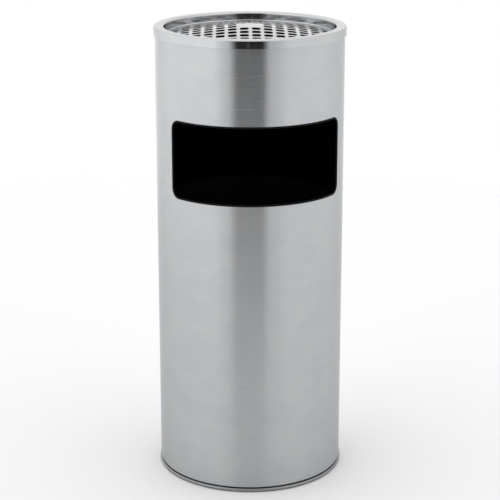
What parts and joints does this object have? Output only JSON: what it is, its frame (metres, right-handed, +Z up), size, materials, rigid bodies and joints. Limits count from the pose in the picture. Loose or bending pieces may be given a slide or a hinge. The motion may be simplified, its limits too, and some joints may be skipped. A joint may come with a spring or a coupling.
{
  "type": "litter bin",
  "caption": "Round free-standing litter bin: side aperture, lift-off ash pan with a perforated sieve on top, and a lift-out liner bucket with a bail handle.",
  "frame": {"origin": "middle of the footprint, on the floor", "axes": "+Z up along the bin's axis; the litter aperture faces -Y; +X is to the right seen from the front"},
  "size_m": [0.2542, 0.2542, 0.61],
  "materials": {
    "shell_steel": "brushed round the body",
    "pan_steel": "satin, spun",
    "sieve_steel": "satin",
    "base_steel": "satin",
    "trim_rubber": "matt black",
    "foot_rubber": "matt black",
    "bucket_paint": "fine black powder coat",
    "rim_wire_steel": "black",
    "ear_paint": "fine black powder coat",
    "rivet_paint": "black",
    "bail_paint": "black",
    "grip_plastic": "moulded black"
  },
  "bodies": {
    "bin": {"body_shell": "shell_steel", "aperture_trim": "trim_rubber", "base_pan": "base_steel", "foot_ring": "foot_rubber"},
    "ash_tray": {"ash_pan": "pan_steel"},
    "sieve": {"ash_sieve": "sieve_steel"},
    "bucket": {"bucket_wall": "bucket_paint", "bucket_base": "bucket_paint", "bucket_rim_wire": "rim_wire_steel", "bail_ear_right": "ear_paint", "bail_ear_left": "ear_paint", "ear_rivets_right": "rivet_paint", "ear_rivets_left": "rivet_paint"},
    "bail": {"bail_wire": "bail_paint", "bail_grip": "grip_plastic"}
  },
  "joints": [
    {"name": "ash_pan_lift", "type": "slide", "parent": "bin", "child": "ash_tray", "axis": [0, 0, 1], "range_m": [0, 0.78]},
    {"name": "sieve_lift", "type": "slide", "parent": "ash_tray", "child": "sieve", "axis": [0, 0, 1], "range_m": [0, 0.06]},
    {"name": "bucket_lift", "type": "slide", "parent": "bin", "child": "bucket", "axis": [0, 0, 1], "range_m": [0, 0.624]},
    {"name": "bail_swing", "type": "hinge", "parent": "bucket", "child": "bail", "pos_m": [0, 0, 0.38225], "axis": [-1, 0, 0], "range_deg": [0, 175]}
  ],
  "couplings": [
    {"joint": "bucket_lift", "follows": "ash_pan_lift", "ratio": 0.8}
  ]
}
